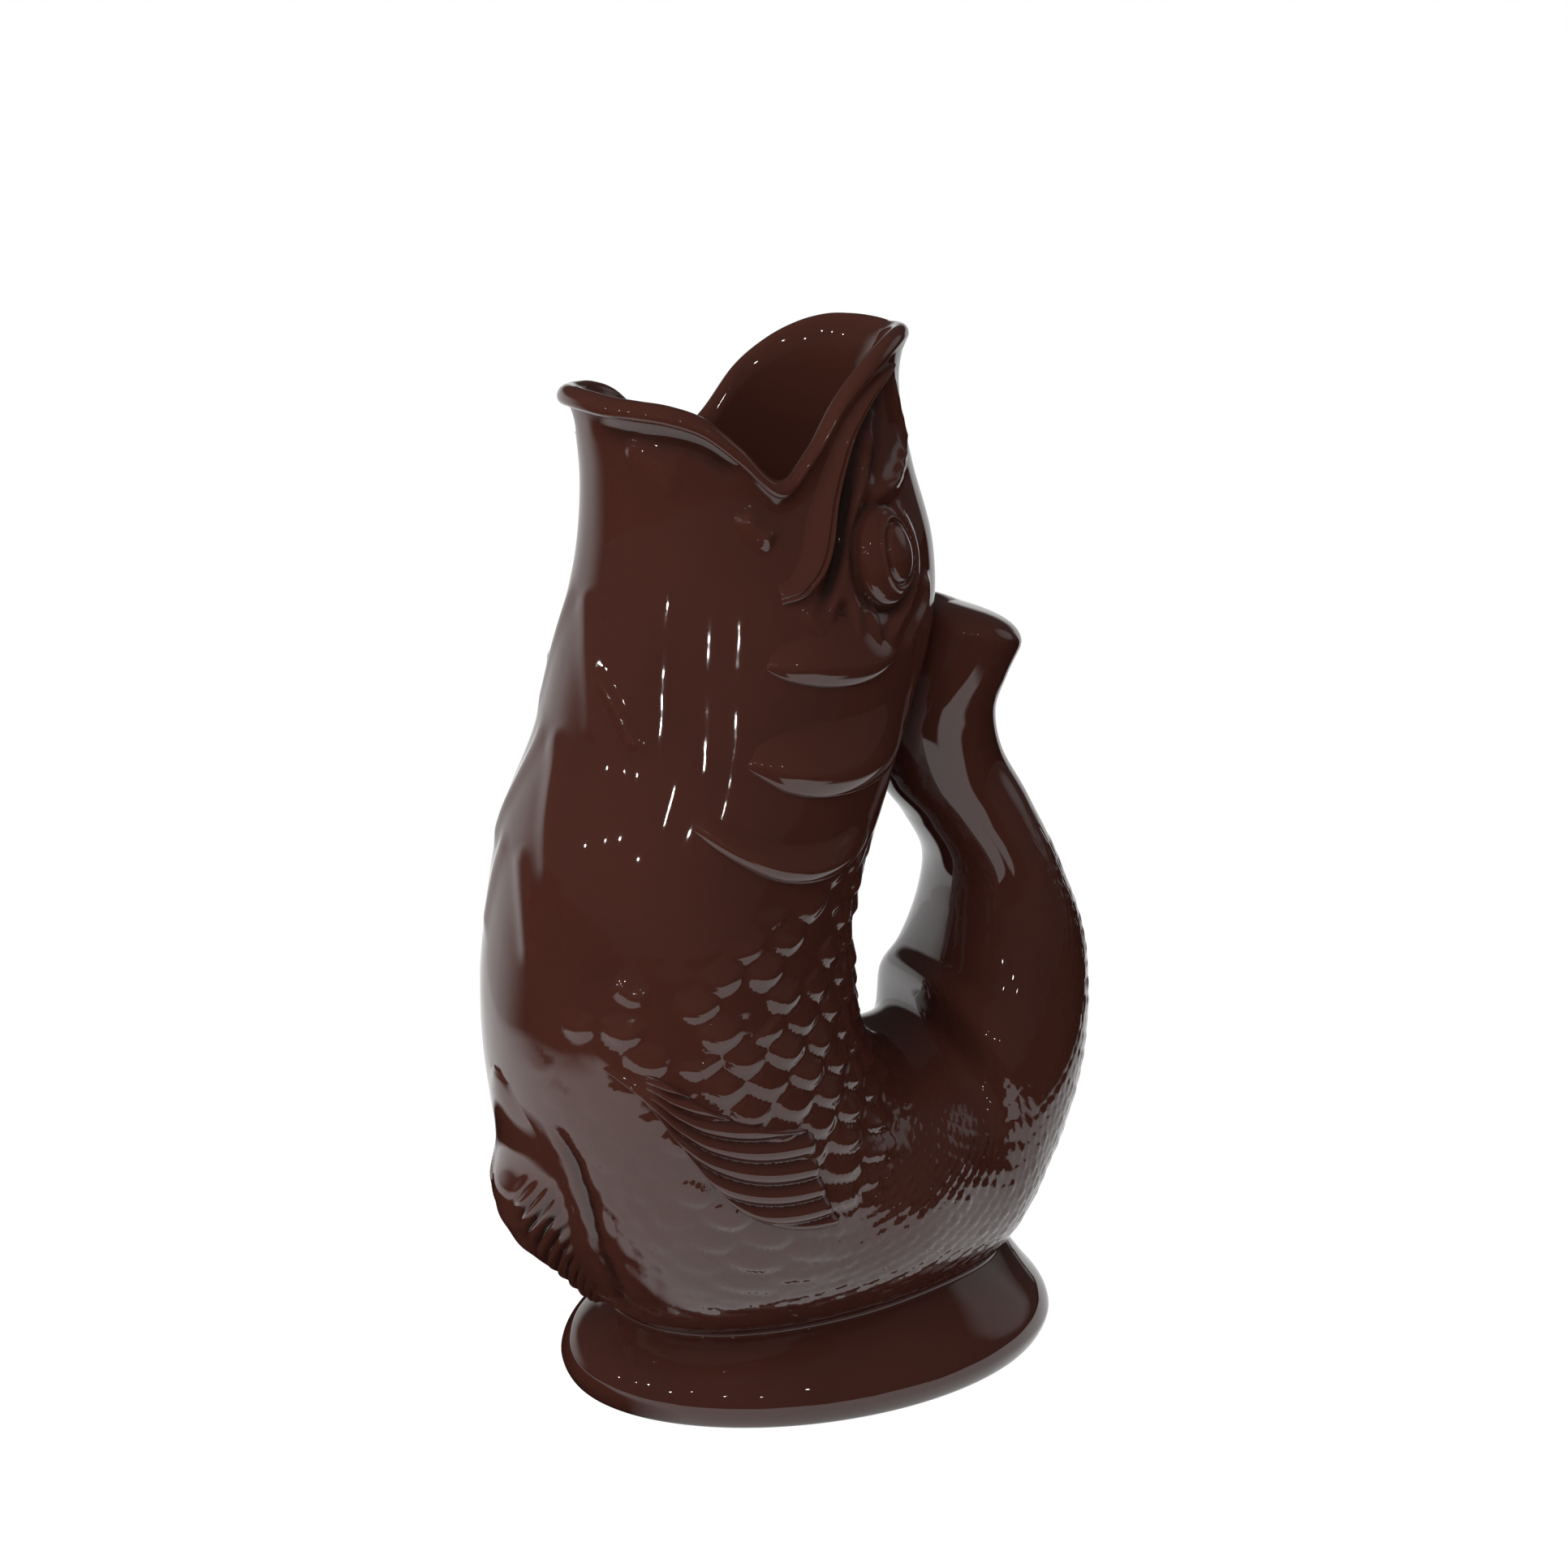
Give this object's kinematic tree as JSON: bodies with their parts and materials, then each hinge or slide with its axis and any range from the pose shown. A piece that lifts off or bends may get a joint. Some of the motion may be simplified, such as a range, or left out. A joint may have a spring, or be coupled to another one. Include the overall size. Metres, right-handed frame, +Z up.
{
  "type": "gurgle jug",
  "caption": "Glazed pottery jug shaped as an upright fish on a flared oval foot; the open mouth pours and the hollow tail curls up as the handle.",
  "frame": {"origin": "on the table under the middle of the whole jug, at the bottom centre of its bounding box", "axes": "+Z up; -X the way the spout and the fish's belly face, +X the tail that is the handle; +Y the fish's right side"},
  "size_m": [0.1523, 0.1066, 0.252],
  "materials": {
    "glaze": "very glossy dark chocolate-brown glaze over fired clay"
  },
  "bodies": {
    "root": {"body_shell": "glaze", "tail_handle": "glaze", "tail_fin": "glaze", "foot_ring": "glaze", "left_eye": "glaze", "right_eye": "glaze", "left_jaw_plate": "glaze", "right_jaw_plate": "glaze", "left_cheek_plate": "glaze", "right_cheek_plate": "glaze", "left_gill_cover": "glaze", "right_gill_cover": "glaze", "left_shoulder_plate": "glaze", "right_shoulder_plate": "glaze", "left_pectoral_fin": "glaze", "right_pectoral_fin": "glaze", "pelvic_fin": "glaze", "anal_fin": "glaze"}
  },
  "joints": []
}
